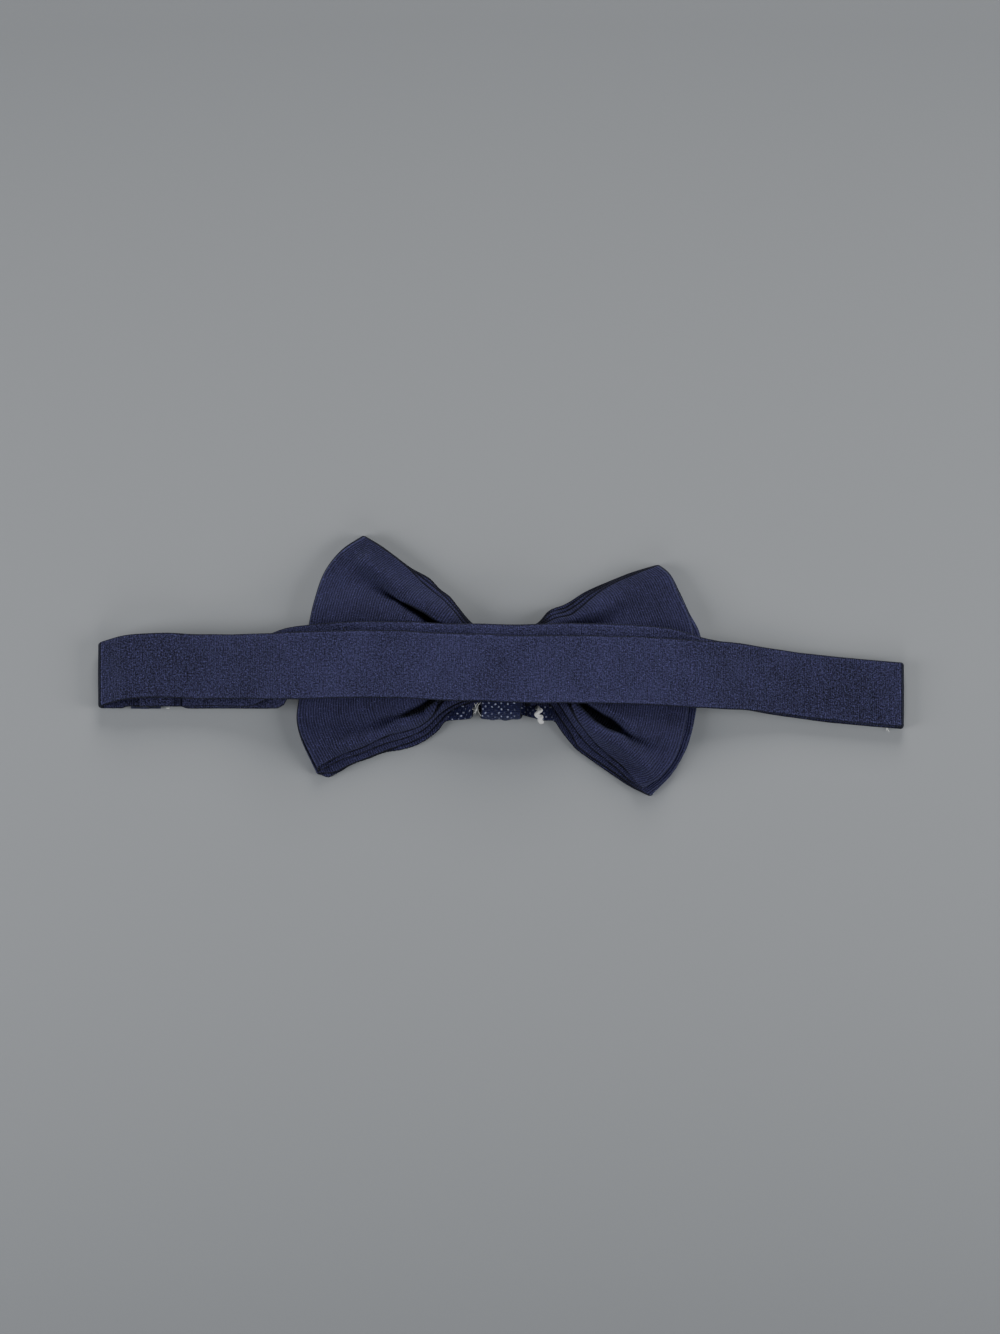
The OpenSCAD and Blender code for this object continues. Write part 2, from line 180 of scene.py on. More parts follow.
def cloth(name, dark, light, pitch, rib_share=0.35, dots=False, wear_and_highlight_share=0.06, shade_from=0.7, end_shade=0.0):
    """Ribbed silk cloth. The UV map is in metres: U runs along the strip and crosses the ribs.

    pitch is the ribs' spacing in mm, and rib_share their part of the tone. wear_and_highlight_share is how
    pale the edges are, partly wear and partly a painted highlight just inside each edge, and
    shade_from the value of rim from which painted shade darkens the cloth. end_shade is how much darker the
    cloth is at the ends of the neck band than at its middle, as painted shade."""
    s = Shader(name)
    uv = s.add("UVMap", uv_map="cloth").outputs["UV"]
    split = s.add("SeparateXYZ", {0: uv})
    along, across = split.outputs[0], split.outputs[1]
    drift = s.math("MULTIPLY", s.noise(uv, 90.0, 2.0), pitch * MM * 1.4)
    turns = s.math("DIVIDE", s.math("ADD", along, drift), pitch * MM)
    wave = s.math("SINE", s.math("MULTIPLY", turns, 2 * math.pi))
    rib = s.math("MULTIPLY_ADD", wave, 0.5, 0.5)
    grain = s.ramp(s.noise(uv, 2000.0, 2.0, 0.7), 0.43, 0.59)
    cloud = s.ramp(s.noise(uv, 60.0, 3.0, 0.6), 0.36, 0.64)
    stretched = {0: s.math("MULTIPLY", along, 1500.0), 1: s.math("MULTIPLY", across, 160.0)}
    slub = s.add("CombineXYZ", stretched).outputs[0]
    streak = s.ramp(s.noise(slub, 1.0, 1.0), 0.35, 0.65)
    tone = s.math("MULTIPLY", rib, rib_share)
    for part, share in ((grain, 0.74 - rib_share), (cloud, 0.16), (streak, 0.10)):
        tone = s.math("MULTIPLY_ADD", part, share, tone)
    # Painted shade: the cloth is darker towards the ends of the neck band.
    if end_shade:
        place = s.add("SeparateXYZ", {0: s.add("TexCoord").outputs["Object"]}).outputs[0]
        ends = s.ramp(s.math("ABSOLUTE", place), *END_SHADE_REACH)
        tone = s.math("SUBTRACT", tone, s.math("MULTIPLY", ends, end_shade))
    colour = s.mix(tone, (*dark, 1), (*light, 1))
    if dots:
        dot = pin_dots(s, uv, along, across)
        colour = s.mix(dot, colour, (0.56, 0.59, 0.80, 1))
    rim = s.add("Attribute", attribute_name="rim").outputs["Fac"]
    # Pale band just inside each edge: partly wear, partly a painted highlight.
    wear_and_highlight = s.math("MULTIPLY", s.ramp(rim, 0.05, 0.25), s.ramp(rim, shade_from, shade_from - 0.2))
    colour = s.mix(s.math("MULTIPLY", wear_and_highlight, wear_and_highlight_share), colour, times(light, 2.0))
    speck = s.ramp(s.noise(uv, 2400.0, 1.0), 0.60, 0.70)
    colour = s.mix(s.math("MULTIPLY", speck, 0.5), colour, times(light, 2.4))
    lint = s.add("TexVoronoi", {"Vector": uv, "Scale": 110.0, "Randomness": 1.0}).outputs["Distance"]
    colour = s.mix(s.ramp(lint, 0.035, 0.015), colour, (0.16, 0.17, 0.25, 1))
    # Painted shade: where rim is high (along edges, in slits, hollows and folds) the colour goes towards half
    # the dark tone.
    painted_shade = s.math("MULTIPLY", s.ramp(rim, shade_from, shade_from + 0.25), 0.92)
    colour = s.mix(painted_shade, colour, times(dark, 0.5))
    height = s.math("MULTIPLY_ADD", rib, 1.0, s.math("MULTIPLY", grain, 0.5))
    return s.finish(
        colour, height, 0.00028, 1.0, Roughness=0.8, Specular_IOR_Level=0.25,
        Sheen_Weight=0.15, Sheen_Roughness=0.5, Sheen_Tint=(0.55, 0.60, 0.85, 1),
    )


DOT_PITCH, DOT_SIZE = 1.35, 0.29


def pin_dots(s, uv, along, across):
    """Small woven dots on a diagonal lattice, a little uneven."""
    cell = DOT_PITCH * MM
    along = s.math("ADD", along, s.math("MULTIPLY", s.noise(uv, 500.0), 0.0010))
    across = s.math("ADD", across, s.math("MULTIPLY", s.noise(uv, 430.0), 0.0010))
    total = s.math("DIVIDE", s.math("ADD", along, across), cell * math.sqrt(2))
    other = s.math("DIVIDE", s.math("SUBTRACT", along, across), cell * math.sqrt(2))
    parts = [s.math("SUBTRACT", s.math("FRACT", value), 0.5) for value in (total, other)]
    squares = [s.math("MULTIPLY", value, value) for value in parts]
    gap = s.math("SQRT", s.math("ADD", squares[0], squares[1]))
    limit = DOT_SIZE / DOT_PITCH
    bright = s.ramp(s.noise(uv, 600.0), 0.45, 0.60, 0.05, 1.0)
    return s.math("MULTIPLY", s.ramp(gap, limit * 1.2, limit * 0.7), bright)


def canvas():
    s = Shader("canvas")
    uv = s.add("UVMap", uv_map="cloth").outputs["UV"]
    split = s.add("SeparateXYZ", {0: uv})
    waves = [s.math("SINE", s.math("MULTIPLY", split.outputs[k], 2 * math.pi / 0.0006)) for k in (0, 1)]
    weave = s.math("MULTIPLY", waves[0], waves[1])
    colour = s.mix(s.ramp(weave, -1, 1), (0.42, 0.40, 0.35, 1), (0.62, 0.60, 0.54, 1))
    colour = s.mix(s.noise(uv, 400.0), colour, (0.55, 0.53, 0.48, 1))
    return s.finish(colour, weave, 0.0001, 0.8, Roughness=0.9)


def thread(name, dark, light):
    """Twisted sewing thread, seen by its fine fibres."""
    s = Shader(name)
    place = s.add("TexCoord").outputs["Object"]
    fibre = s.noise(place, 3200.0, 3.0, 0.7)
    colour = s.mix(s.ramp(fibre, 0.3, 0.7), (*dark, 1), (*light, 1))
    return s.finish(colour, fibre, 0.0001, 1.0, Roughness=0.85, Sheen_Weight=0.3)


def enamel():
    s = Shader("navy_enamel")
    place = s.add("TexCoord").outputs["Object"]
    patch = s.noise(place, 350.0, 4.0)
    colour = s.mix(patch, (0.026, 0.028, 0.066, 1), (0.045, 0.048, 0.110, 1))
    chips = s.ramp(s.noise(place, 900.0, 3.0), 0.70, 0.76)
    colour = s.mix(chips, colour, (0.16, 0.155, 0.15, 1))
    return s.finish(colour, patch, 0.00004, 0.6, Roughness=0.45, Metallic=0.1, Coat_Weight=0.2)


NAVY_DARK, NAVY_LIGHT = (0.0010, 0.0010, 0.008), (0.063, 0.060, 0.170)
BAND_DARK, BAND_LIGHT = (0.0010, 0.0010, 0.010), (0.087, 0.084, 0.226)
DOT_DARK, DOT_LIGHT = (0.0025, 0.0025, 0.022), (0.019, 0.020, 0.108)
MATERIALS = {
    "ribbed_fabric": cloth("ribbed_cloth", NAVY_DARK, NAVY_LIGHT, 0.74, 0.58, wear_and_highlight_share=0.12, shade_from=0.45),
    "band_fabric": cloth("band_cloth", BAND_DARK, BAND_LIGHT, 0.56, 0.14, end_shade=0.18),
    "dotted_fabric": cloth("pin_dot_cloth", DOT_DARK, DOT_LIGHT, 0.5, 0.2, dots=True),
    "navy_cloth": cloth("navy_cloth", DOT_DARK, DOT_LIGHT, 0.5, 0.2),
    "interlining": canvas(),
    "white_thread": thread("white_cotton", (0.90, 0.90, 0.88), (0.98, 0.98, 0.97)),
    "navy_thread": thread("navy_cotton", (0.006, 0.007, 0.022), (0.030, 0.034, 0.075)),
    "navy_enamel": enamel(),
}


# ---------------------------------------------------------------- small geometry helpers
def length_so_far(points):
    """Length of a polyline up to each of its points."""
    return np.r_[0, np.cumsum(np.linalg.norm(np.diff(np.asarray(points, float), axis=0), axis=1))]


def spline(points, share):
    """Smooth curve through points, at shares of its length."""
    p = np.asarray(points, float)
    d = length_so_far(p)
    d /= d[-1]
    slope = np.gradient(p, d, axis=0)
    share = np.asarray(share, float)
    i = np.clip(np.searchsorted(d, share, side="right") - 1, 0, len(p) - 2)
    h = (d[i + 1] - d[i])[:, None]
    t = (share - d[i])[:, None] / h
    return (
        (2 * t**3 - 3 * t**2 + 1) * p[i] + (t**3 - 2 * t**2 + t) * h * slope[i]
        + (3 * t**2 - 2 * t**3) * p[i + 1] + (t**3 - t**2) * h * slope[i + 1]
    )


def height_at(points, x):
    """Smooth height over x from a list of (x, height)."""
    line = spline(points, np.linspace(0, 1, 400))
    order = np.argsort(line[:, 0])
    return np.interp(x, line[order, 0], line[order, 1])


def step(low, high, x):
    t = np.clip((x - low) / (high - low), 0, 1)
    return t * t * (3 - 2 * t)


def lower_of(a, b, soft=0.5):
    """The lower of two heights, with a rounded change between them."""
    h = np.clip(0.5 + 0.5 * (b - a) / soft, 0, 1)
    return b + (a - b) * h - soft * h * (1 - h)


def higher_of(a, b, soft=0.5):
    return -lower_of(-a, -b, soft)


def ripple(x, y, size, seed):
    """Gentle unevenness from -1 to 1 with features of about size."""
    rng = np.random.RandomState(seed)
    total = 0
    for _ in range(7):
        turn, phase, scale = rng.uniform(0, 2 * math.pi, 2).tolist() + [rng.uniform(0.6, 1.6)]
        total = total + np.sin((x * math.cos(turn) + y * math.sin(turn)) * 2 * math.pi / size / scale + phase)
    return total / 4


def path_distance(x, y, points):
    """Signed distance to a polyline, the share of the way along it, and the way to it from each point."""
    p = np.asarray(points, float)
    lengths = np.linalg.norm(np.diff(p, axis=0), axis=1)
    start = np.r_[0, np.cumsum(lengths)]
    best, share, sign = np.full(x.shape, 1e9), np.zeros(x.shape), np.ones(x.shape)
    way = np.zeros(x.shape + (2,))
    for k in range(len(p) - 1):
        a, d = p[k], p[k + 1] - p[k]
        t = np.clip(((x - a[0]) * d[0] + (y - a[1]) * d[1]) / (lengths[k] ** 2), 0, 1)
        dx, dy = x - a[0] - t * d[0], y - a[1] - t * d[1]
        gap = np.hypot(dx, dy)
        closer = gap < best
        best = np.where(closer, gap, best)
        share = np.where(closer, (start[k] + t * lengths[k]) / start[-1], share)
        sign = np.where(closer, np.sign(d[0] * dy - d[1] * dx), sign)
        way = np.where(closer[..., None], -np.stack([dx, dy], -1) / np.maximum(gap, 1e-6)[..., None], way)
    return best * sign, share, way


def normals(grid, around=False):
    if around:
        du = np.roll(grid, -1, 0) - np.roll(grid, 1, 0)
    else:
        du = np.gradient(grid, axis=0)
    n = np.cross(du, np.gradient(grid, axis=1))
    return n / np.maximum(np.linalg.norm(n, axis=2, keepdims=True), 1e-9)


def columns(count, width, rim=0.5):
    """Shares of the width, with closer columns at the two edges so that a rim can be round."""
    close = np.array([0, 0.12, 0.4, 0.8, 1.3]) * rim / width
    return np.r_[close, np.linspace(1.3 * rim / width, 1 - 1.3 * rim / width, count)[1:-1], 1 - close[::-1]]


def put(name, verts, faces, uv, body, slot, material=None, rim=None, ply=None):
    """Makes a mesh object in the shared frame and lets it ride on its body."""
    mesh = bpy.data.meshes.new(name)
    mesh.from_pydata((np.asarray(verts) * MM).tolist(), [], faces)
    mesh.polygons.foreach_set("use_smooth", [True] * len(mesh.polygons))
    mesh.set_sharp_from_angle(angle=math.radians(70))
    if uv is not None:
        layer = mesh.uv_layers.new(name="cloth")
        corner = np.empty(len(mesh.loops), int)
        mesh.loops.foreach_get("vertex_index", corner)
        layer.data.foreach_set("uv", (np.asarray(uv)[corner] * MM).ravel())
    # The rim attribute carries painted shade and a painted edge highlight for the cloth.
    shade = mesh.attributes.new("rim", "FLOAT", "POINT")
    shade.data.foreach_set("value", np.zeros(len(verts)) if rim is None else np.asarray(rim, float))
    mesh.materials.append(MATERIALS[material or slot])
    if ply:
        mesh.materials.append(MATERIALS[ply[0]])
        mesh.polygons.foreach_set("material_index", np.asarray(ply[1]).astype(np.int32))
    piece = bpy.data.objects.new(name, mesh)
    bpy.context.collection.objects.link(piece)
    if body:
        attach(piece, body)
    return piece


def quarter_round(share):
    """Height of a quarter circle of radius 1, at a distance from its foot; 1 beyond the radius."""
    return np.sqrt(np.clip(1 - (1 - np.clip(share, 0, 1)) ** 2, 0, 1))


# Moves the weave on the lower side, so that it doesn't mirror the upper side.
UNDERSIDE_SHIFT = (7.3, 3.1)


def sewn_tube(
    name, grid, u, v, half, body, slot, material=None, around=False, capped=False, rim_r=0.5, ply=None,
    shade=0.0, edge_w=0.7,
):
    """A flat sewn tube of cloth round a grid of middle points: rows run along it, columns across it.

    u and v are lengths along and across, half is half its thickness. around joins the last row to the first.
    capped ends are cut straight, and other ends are drawn together. ply is a second cloth, and where it lies
    on the upper and on the lower side, as two masks by row and column. shade is painted shade away from the
    edges, and edge_w is how far in the painted shade along each edge reaches."""
    rows, cols = grid.shape[:2]
    n = normals(grid, around)
    edge = np.minimum(v, v[:, -1:] - v)
    round_off = quarter_round(edge / rim_r)
    if not around and not capped:
        round_off = round_off * quarter_round(np.minimum(u, u[-1:] - u) / rim_r)
    offset = n * (half * round_off)[:, :, None]
    top = np.arange(rows * cols).reshape(rows, cols)
    inner = np.ones((rows, cols), bool)
    inner[:, [0, -1]] = False
    if not around and not capped:
        inner[[0, -1]] = False
    low = top.copy()
    low[inner] = rows * cols + np.arange(inner.sum())
    verts = np.r_[(grid + offset).reshape(-1, 3), (grid - offset)[inner]]
    uv = np.stack([u, v], 2)
    uv = np.r_[uv.reshape(-1, 2), uv[inner] + UNDERSIDE_SHIFT]
    # rim carries painted shade: high along each edge and wherever shade is given.
    rim = np.maximum(np.exp(-((edge / edge_w) ** 2)), shade)
    rim = np.r_[rim.ravel(), rim[inner]]
    i = np.arange(rows if around else rows - 1)[:, None]
    j = np.arange(cols - 1)[None, :]
    k = (i + 1) % rows
    faces = np.stack([top[i, j], top[k, j], top[k, j + 1], top[i, j + 1]], 2).reshape(-1, 4).tolist()
    faces += np.stack([low[i, j + 1], low[k, j + 1], low[k, j], low[i, j]], 2).reshape(-1, 4).tolist()
    if capped and not around:
        for row, turn in ((0, 1), (rows - 1, -1)):
            ring = list(top[row]) + list(low[row][::-1][1:-1])
            faces.append([int(q) for q in ring[::turn]])
    if ply:
        cloth_name, upper, lower = ply
        masks = [np.broadcast_to(m, (rows, cols))[i, j].ravel() for m in (upper, lower)]
        ply = (cloth_name, np.r_[masks[0], masks[1], np.zeros(len(faces) - 2 * masks[0].size, bool)])
    return put(name, verts, faces, uv, body, slot, material, rim, ply)


# ---------------------------------------------------------------- the two bows
CLOTH_T = 0.86
LAYER_GAP = 1.02
# Gap between the layers at their long edges, and how much of the pleats' relief each layer takes.
EDGE_GAP = 1.22
RELIEF = (0.12, 0.35, 0.7, 1.0)
# How far the outer edge is drawn in to leave room for the turn of the cloth.
TURN_ROOM = 0.75
WING_W = 45.0
# Radius of the rounded rim of a tube of cloth, columns that a canvas stays inside it, and half a canvas.
RIM_R = 0.6
BOW_INSET, BOW_CANVAS_HALF = 9, 0.12
BAND_INSET, BAND_CANVAS_HALF = 8, 0.14

# Edges of the four layers of each wing, from the knot outwards. Layer 0 is the face, layer 3 the back.
LEFT = {
    "top": [
        [(-7, 11), (-9.2, 12.6), (-13.5, 17.6), (-16.1, 20.8), (-18.8, 22.8), (-22, 26.1), (-27.6, 29.3),
         (-32.7, 33.1), (-36.8, 36.1), (-42.4, 39)],
        [(-7, 10.7), (-9.6, 12.6), (-13.6, 17.3), (-16.2, 20.5), (-19, 22.6), (-22.2, 25.8), (-27.8, 29.2),
         (-32.7, 33), (-36.8, 36), (-42.3, 38.8)],
        [(-7, 10), (-10.6, 12.6), (-13.9, 16.4), (-17.4, 20.4), (-22.8, 25), (-28, 29.1), (-32.8, 32.9),
         (-36.8, 35.8), (-42, 38.6)],
        [(-7, 9.5), (-12.2, 12.8), (-14.6, 15.6), (-18, 19.3), (-21.3, 22), (-25.3, 25.6), (-28.5, 29),
         (-32.8, 32.7), (-36.8, 35.6), (-41.8, 38.4)],
    ],
    "bottom": [
        [(-7, -11.4), (-8.7, -12.6), (-9.4, -15.9), (-12, -16.5), (-15.1, -16.7), (-17.3, -17.1),
         (-19.4, -19.7), (-22.5, -22.2), (-25.5, -24), (-30.4, -25.6), (-36.5, -26.7), (-40.2, -28.2),
         (-45.7, -30.2), (-50.4, -32.9), (-52.8, -34), (-56, -33.2)],
        [(-7, -10.7), (-9.6, -11.2), (-12.1, -12.1), (-16.7, -14.5), (-19.7, -17.6), (-22.8, -20.7),
         (-27.4, -23.1), (-33.5, -25.2), (-40.2, -27.8), (-45.7, -29.9), (-51.5, -32.5), (-56.2, -32.7)],
        [(-7, -9.9), (-12.1, -10.9), (-15.1, -12.1), (-19.1, -14.6), (-21.9, -17.6), (-24.9, -20),
         (-29.8, -22), (-35.9, -23.8), (-42.7, -26.6), (-49.4, -28.9), (-55.8, -31.9)],
        [(-7, -9), (-16.5, -10), (-18.6, -11.6), (-20.2, -13.6), (-21.9, -15.8), (-24.9, -18.1),
         (-28.9, -19.6), (-34.1, -20.8), (-38.1, -22.5), (-42.7, -24.8), (-48.8, -27.1), (-55.9, -30.6)],
    ],
    "front_edge": [(-56, -33.2), (-58.5, -28), (-61.1, -22.1), (-62.3, -17), (-61.6, -10), (-60.1, 0),
                   (-58.5, 13), (-57, 19.5), (-53.7, 28.5), (-48.9, 34.5), (-42.7, 39)],
    "back_edge": [(-55.9, -30.8), (-58.4, -26), (-60.7, -21), (-61.8, -16.6), (-61.2, -10), (-59.6, 0),
                  (-58.1, 13), (-56.5, 19.5), (-53.3, 28.3), (-48.5, 34.1), (-42.3, 38.5)],
}
RIGHT = {
    "top": [
        [(7, 11), (10.5, 12.8), (13.9, 16.4), (18.8, 18.4), (24.6, 22), (32.2, 25.4), (39.1, 28.1),
         (46.9, 30.2)],
        [(7, 10.5), (11.5, 13.1), (13.9, 15.6), (19, 17.2), (24.4, 21), (29.8, 23.9), (38, 27.6),
         (46.8, 30.1)],
        [(7, 9.8), (12.7, 13.1), (14.4, 14.6), (18.8, 15.9), (22.5, 18.1), (26, 21), (30, 23.4), (38, 27.2),
         (46.6, 29.8)],
        [(7, 9.5), (13, 12.6), (15.8, 13.9), (20.3, 14.9), (23.4, 17.1), (26.5, 19.8), (29.5, 22.2),
         (34.4, 25), (39.3, 27.1), (46.4, 29.6)],
    ],
    "bottom": [
        [(7, -15.4), (9.6, -16.1), (12.6, -16.8), (15.4, -17), (17.2, -19.5), (20, -23.1), (21.8, -25.2),
         (25.5, -28), (32.5, -32.9), (38.6, -36.9), (44.9, -39.6)],
        [(7, -10.2), (12.8, -10.6), (14.5, -12.2), (17.5, -16.4), (20.6, -20.8), (22.5, -24.3),
         (25.8, -27.1), (29.5, -29.6), (34.4, -33), (38.6, -36.2), (43.8, -38.8)],
        [(7, -9.6), (15.6, -10.4), (17.2, -12.2), (20, -16.4), (23.3, -21.3), (26.4, -24.7), (30.1, -27.7),
         (34.4, -31.2), (38.2, -34.8), (42.2, -37.2)],
        [(7, -9), (18.4, -10.2), (20, -12.2), (22.4, -16.1), (25.8, -20.7), (28.5, -24), (32.2, -27.2),
         (36.5, -30.9), (41.3, -36)],
    ],
    "front_edge": [(45.5, -39.6), (50.1, -33.7), (55, -25.7), (56.8, -20.3), (58.2, -13), (58.9, -6),
                   (59.4, 0), (59.2, 9.4), (55.9, 15.9), (53.2, 21.8), (49.7, 28), (46.9, 30.2)],
    "back_edge": [(42, -36.6), (46.7, -34), (49.4, -31.3), (53, -24.7), (54.6, -17.8), (55.6, -13.4),
                  (56.5, -5), (57.3, 5), (56.8, 11), (55, 16.5), (52.4, 22), (49.4, 27.4), (46.6, 29.7)],
}

# Hollows between the pleats, from the knot outwards: place, half width, depth, and how far the crest beside
# each leans over it.
VALLEYS = [
    ([(-7, 4), (-17.5, 10.4), (-20.5, 12.7), (-23.8, 15.2), (-28.5, 17.9), (-32, 19.9), (-40, 24.6),
      (-52, 28)],
     [1.7, 1.5, 1.5, 1.4, 1.2, 1.0, 3, 4.5], [3, 7, 7, 7, 6, 3, 0.9, 0.3], -0.9),
    ([(-7, -4), (-19.5, -9.8), (-22.5, -11.8), (-24.3, -13.3), (-27.4, -14.5), (-31, -15.8), (-39, -18.4),
      (-57, -19)],
     [1.7, 1.4, 1.3, 1.4, 1.2, 0.8, 2.6, 3.5], [3, 7, 7, 7, 7, 5, 1.2, 0.6], 0.6),
    ([(7, -3), (18, -8.5), (22.5, -10.8), (24.9, -13), (28.2, -15.5), (31.9, -17.6), (35.6, -19.8),
      (38.5, -21.8), (52, -28)],
     [1.7, 1.7, 1.5, 1.7, 2.3, 2.5, 1.9, 1.2, 3], [3, 7, 7, 7, 7, 7, 5, 2, 0.4], -0.9),
    ([(7, 6), (20, 10.5), (31, 13.6), (42, 17)], [1.6, 1.8, 2.4, 4.0], [3, 3.4, 2.2, 0.5], 0),
]
# Crests beside the hollows: place, width and height
CRESTS = [
    ([(-16, 15), (-24, 19), (-33, 24.5), (-41, 31)], 2.4, 2.2),
    ([(-18, -11), (-22, -14.4), (-26, -16.4), (-31, -18), (-40, -21.6), (-50, -24.5)], 1.5, 1.8),
    ([(20.5, -12), (23.6, -16), (28, -19.8), (33, -22.6), (39, -26.5), (44, -31)], 1.7, 2.2),
    ([(24, -9.6), (28, -12.4), (33, -15.7), (38, -19)], 1.9, 1.6),
    ([(-30, 15.2), (-44, 18), (-54, 17)], 4.5, 0.9),
    ([(32, -13.4), (42, -17), (51, -20)], 3.2, 0.9),
    ([(20, 14.5), (31, 19), (43, 25)], 3.4, 0.8),
]

# Height of the face layer and gap to the next layer, by distance from the knot's middle.
FACE_RISE = [(0, 4.2), (7, 4.2), (12, 3.0), (20, 1.3), (30, 0.55), (66, 0.5)]
MIDDLE_GAP = [(0, 1.2), (7, 1.2), (12, 1.6), (20, 2.1), (30, 2.0), (50, 1.5), (66, 1.4)]

# Height of the band's middle line by X: the run against the bow.
INNER_RISE = [
    (-71, 2.6), (-66.5, 4.6), (-62.5, 6.1), (-57, 6.4), (-50, 6.45), (-30, 8.25), (-20, 9.2), (-13, 9.9),
    (-9, 11.1), (-6, 11.55), (0, 11.6), (5, 11.55), (8, 11.1), (12, 9.95), (20, 9.2), (30, 8.25),
    (50, 6.45), (58, 6.2), (64, 5.1), (72, 2.8), (80, 1.3), (90, 0.7),
]
BAND_T = 1.3
BAND_W = 19.4
# Where the band lies over the bow in Y, the room under it, and how fast that room grows beside it.
BAND_TOP, BAND_LOW = 12.4, -11.4
UNDER_ROOM, BESIDE_SLOPE = 0.2, 1.6


def stack_heights(x, y, v):
    """Middle heights of the four layers on each layer's own grid: x, y and v are lists by layer."""
    heights = []
    for k in range(4):
        reach = np.abs(x[k])
        bell = 1 - np.abs(2 * v[k] - 1) ** 4.5
        gap = EDGE_GAP + (height_at(MIDDLE_GAP, reach) - EDGE_GAP) * (bell + (1 - bell) * step(14, 7, reach))
        z = height_at(FACE_RISE, reach) + k * gap
        share = RELIEF[k]
        for points, width, rise in CRESTS:
            d = path_distance(x[k], y[k], points)[0]
            z = z + share * rise * np.exp(-((d / width) ** 2))
        angle = np.arctan2(y[k], reach)
        fan = np.sin(angle * 19 + 0.8 * np.sin(reach / 9)) * step(8, 16, reach) * step(50, 22, reach)
        z = z + share * (0.22 * fan + 0.22 * ripple(x[k], y[k], 26, 3) + 0.10 * ripple(x[k], y[k], 9, 8))
        drop = 0
        for points, widths, depths, _ in VALLEYS:
            d, _, width, depth = hollow_at(x[k], y[k], points, widths, depths)
            drop = drop + depth * np.exp(-np.abs(d / width) ** 2.6)
        least = 0.5 + k * LAYER_GAP
        most = under_band(x[k], y[k]) - (3 - k) * LAYER_GAP
        z = lower_of(z, most, 0.35)
        heights.append(higher_of(z - drop * (1.0 - 0.04 * (3 - k)), least, 0.4))
    return heights


def shares(points):
    """Share of a polyline's length at each of its points."""
    lengths = length_so_far(points)
    return lengths / lengths[-1]


def hollow_at(x, y, points, widths, depths):
    """Distance to a hollow and the way to it from each point, with its width and depth there."""
    d, s, way = path_distance(x, y, points)
    return d, way, np.interp(s, shares(points), widths), np.interp(s, shares(points), depths)


def lean_over(plan):
    """Moves the crests beside the hollows a little over them, so that each hollow has a lip."""
    x, y = plan[:, :, 0], plan[:, :, 1]
    moved = plan.copy()
    for points, widths, depths, lip in VALLEYS:
        d, way, width, depth = hollow_at(x, y, points, widths, depths)
        near = np.exp(-(((np.abs(d) - width - 0.6) / 1.1) ** 2)) * (np.sign(d) == np.sign(lip))
        near = near * step(1.2, 4.5, depth)
        moved += way * (abs(lip) * near)[..., None]
    return moved


# Painted shade in the slits between the layers: its darkness, its reach, and its reach at a wing's outer
# edge.
SLIT_SHADE, SLIT_W, EDGE_SLIT_W = 0.85, 0.5, 0.95
# Painted shade beside the knot: where the bow darkens, and how far that reaches.
KNOT_SHADE = (7.4, 1.3)
# The inside of the front bow's face is dotted too, within this reach in X and below this Y.
DOTS_REACH, DOTS_BELOW = 15.5, -12.6


def hollow_shade(grid):
    """Painted shade in the hollows of the back bow: how deep in a hollow each point lies, from 0 to 1."""
    shade = np.zeros(grid.shape[:2])
    for points, widths, depths, _ in VALLEYS:
        d, _, width, depth = hollow_at(grid[:, :, 0], grid[:, :, 1], points, widths, depths)
        shade = np.maximum(shade, 0.9 * np.exp(-((d / width) ** 4)) * step(2.5, 6.5, depth))
    return shade


def pleat_shade(grid, lower):
    """Painted shade by the slit under the edge of the layer above, from 0 to 1, as nearness to that edge."""
    row = np.arange(len(grid))
    upper_rows = (row < WING_ROWS + TURN_ROWS) | (row >= 3 * WING_ROWS + 2 * TURN_ROWS)
    shade = np.zeros(grid.shape[:2])
    for wing, side in ((LEFT, -1), (RIGHT, 1)):
        for rows, layer in ((upper_rows, lower + 1), (~upper_rows, lower)):
            if layer > 2:
                continue
            lines = [(wing["bottom"][layer + 1], SLIT_W), (wing["top"][layer + 1], SLIT_W)]
            if layer == 1:
                lines.append((wing["back_edge"], EDGE_SLIT_W))
            for points, width in lines:
                x, y = grid[:, :, 0], grid[:, :, 1]
                near = SLIT_SHADE * np.exp(-((path_distance(x, y, points)[0] / width) ** 2))
                shade = np.maximum(shade, near * rows[:, None] * step(6.5, 8.5, side * x))
    return shade


def under_band(x, y):
    """Highest middle line of the back layer that stays clear of the band above it."""
    clear = height_at(INNER_RISE, x) - BAND_T / 2 - CLOTH_T / 2 - UNDER_ROOM
    beyond = np.maximum(np.maximum(y - BAND_TOP, BAND_LOW - y), 0)
    return clear + BESIDE_SLOPE * beyond


def coons(bottom, top, knot, edge, u, v):
    """Fills the four edges of a layer with a smooth grid: u from the knot outwards, v from bottom to top."""
    b, t = spline(bottom, u)[:, None], spline(top, u)[:, None]
    k, e = spline(knot, v)[None], spline(edge, v)[None]
    uu, vv = u[:, None, None], v[None, :, None]
    corner = (
        (1 - uu) * (1 - vv) * b[0, 0] + (1 - uu) * vv * t[0, 0]
        + uu * (1 - vv) * b[-1, 0] + uu * vv * t[-1, 0]
    )
    return (1 - vv) * b + vv * t + (1 - uu) * k + uu * e - corner


# Rows and columns of one layer of a wing, and rows of the turn between two layers.
WING_ROWS, WING_COLS, TURN_ROWS = 58, 84, 5


